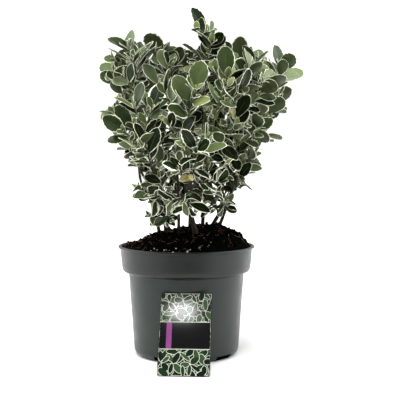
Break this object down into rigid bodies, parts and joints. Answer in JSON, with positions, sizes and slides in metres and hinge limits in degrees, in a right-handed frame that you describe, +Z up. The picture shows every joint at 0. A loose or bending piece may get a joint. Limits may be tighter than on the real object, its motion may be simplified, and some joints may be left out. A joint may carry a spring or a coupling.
{
  "type": "variegated evergreen shrub in a nursery pot",
  "caption": "Young bushy shrub with cream-edged green leaves on upright woody stems, in a round tapered grey nursery pot of soil, with a plain picture card leaning on its front.",
  "frame": {"origin": "centre of the pot's flat underside", "axes": "+Z up along the pot's axis, -Y towards the side with the card, +X to the right seen from that side"},
  "size_m": [0.2881, 0.339, 0.4802],
  "materials": {
    "pot": "satin slate grey plastic",
    "soil": "moist dark compost with bark chips",
    "bark": "smooth brown bark, greener above",
    "foliage": "leathery grey-green leaves with cream edges",
    "card": "glossy printed card"
  },
  "bodies": {
    "root": {"stem_front": "bark", "stem_right": "bark", "stem_top": "bark", "stem_inner": "bark", "stem_left": "bark", "stem_left_back": "bark", "stem_back": "bark", "stem_back_left": "bark", "stem_back_right": "bark", "bough_left": "bark", "bough_left_low": "bark", "bough_right_front": "bark", "bough_centre_right": "bark", "bough_right_back": "bark", "bough_back": "bark", "bough_back_left": "bark", "pot": "pot", "soil": "soil", "label_card": "card", "crown_top": "foliage", "crown_left_top": "foliage", "crown_left_high": "foliage", "crown_left_back": "foliage", "crown_inner_top": "foliage", "crown_inner": "foliage", "crown_left": "foliage", "crown_left_front": "foliage", "crown_left_low_front": "foliage", "crown_centre": "foliage", "crown_centre_left": "foliage", "crown_centre_right": "foliage", "crown_right_top": "foliage", "crown_right_back_top": "foliage", "crown_right_end": "foliage", "crown_right_front": "foliage", "crown_right_middle": "foliage", "crown_middle": "foliage", "crown_centre_low": "foliage", "crown_centre_right_low": "foliage", "crown_left_low": "foliage", "crown_low_left": "foliage", "crown_low_front": "foliage", "crown_bottom_left": "foliage", "crown_bottom_right": "foliage", "crown_right_low": "foliage", "crown_back_top": "foliage", "crown_back_left_top": "foliage", "crown_back_right_top": "foliage", "crown_back_left": "foliage", "crown_back": "foliage", "crown_back_right": "foliage", "crown_back_low": "foliage", "crown_back_low_left": "foliage", "crown_back_low_right": "foliage"}
  },
  "joints": []
}
